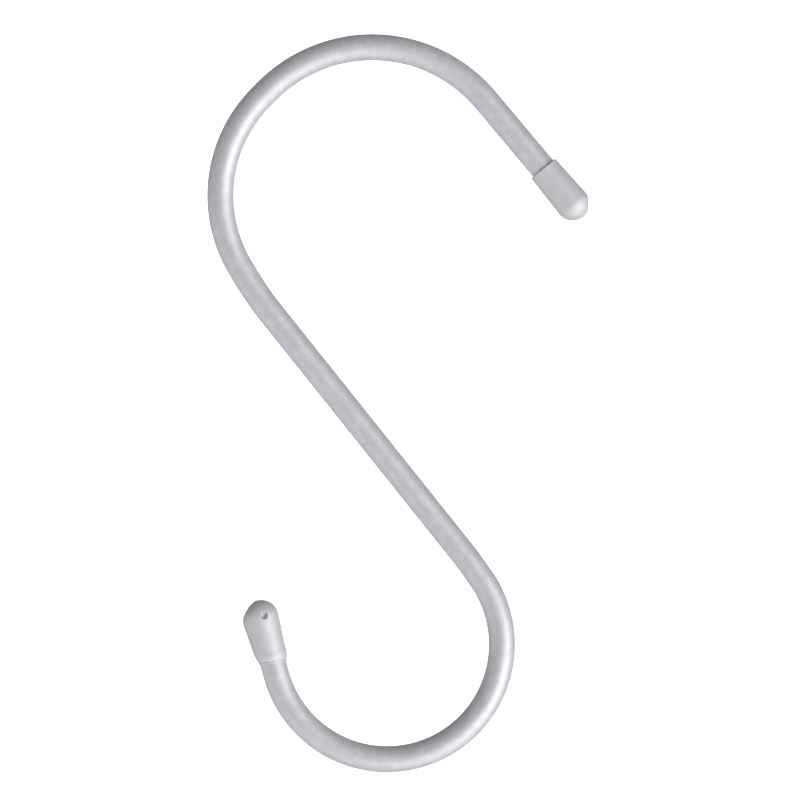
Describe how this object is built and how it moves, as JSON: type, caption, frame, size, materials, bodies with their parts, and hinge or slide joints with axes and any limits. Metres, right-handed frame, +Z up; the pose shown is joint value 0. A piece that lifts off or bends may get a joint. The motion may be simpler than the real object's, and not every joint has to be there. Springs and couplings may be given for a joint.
{
  "type": "s hook",
  "caption": "S-shaped hook of bent round wire: a wide upper hook for a rail, a smaller lower hook for the load, and a domed push-on cap on each cut end.",
  "frame": {"origin": "top of the upper hook's inside, where a rail carries the wire, in the hook's mid plane", "axes": "the flat S lies in the XZ plane; +Z up as it hangs; +X towards the free end of the upper hook; +Y towards the back"},
  "size_m": [0.0608, 0.0056, 0.117],
  "materials": {
    "coated_wire": "satin",
    "cap_plastic": "satin"
  },
  "bodies": {
    "root": {"bent_wire": "coated_wire", "upper_end_cap": "cap_plastic", "lower_end_cap": "cap_plastic"}
  },
  "joints": []
}
